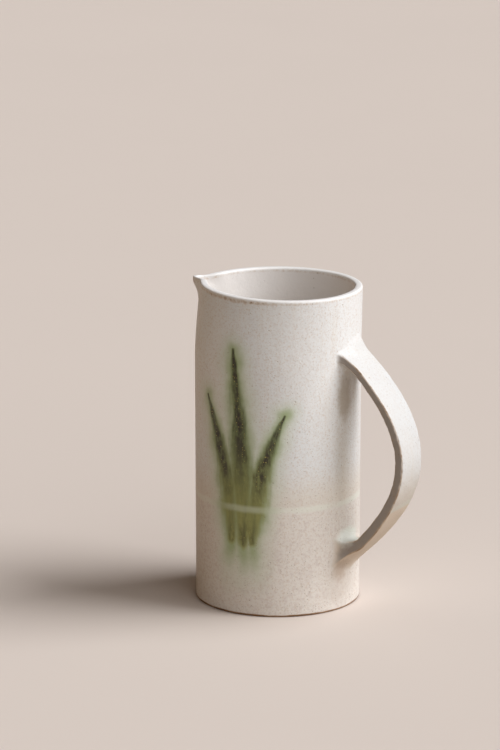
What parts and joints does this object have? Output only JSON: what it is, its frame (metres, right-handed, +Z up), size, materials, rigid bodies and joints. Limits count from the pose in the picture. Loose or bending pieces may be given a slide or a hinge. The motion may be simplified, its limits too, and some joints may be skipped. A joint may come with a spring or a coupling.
{
  "type": "stoneware jug",
  "caption": "Tall straight-sided stoneware jug with a small pulled pouring lip and a broad strap handle, for holding and pouring water.",
  "frame": {"origin": "centre of the foot, on the table", "axes": "+Z up the jug, +X towards the handle, -X towards the pouring lip"},
  "size_m": [0.147, 0.1, 0.1905],
  "materials": {
    "white_glaze": "satin off-white stoneware glaze with fine iron specks",
    "handle_glaze": "satin off-white glaze, thin and warm along the edges",
    "bare_stoneware": "bare fired stoneware, matt"
  },
  "bodies": {
    "root": {"base_slab": "bare_stoneware", "corner_coil": "white_glaze", "body_wall": "white_glaze", "spout": "white_glaze", "upper_handle_root": "white_glaze", "handle_strap": "handle_glaze", "lower_handle_root": "handle_glaze"}
  },
  "joints": []
}
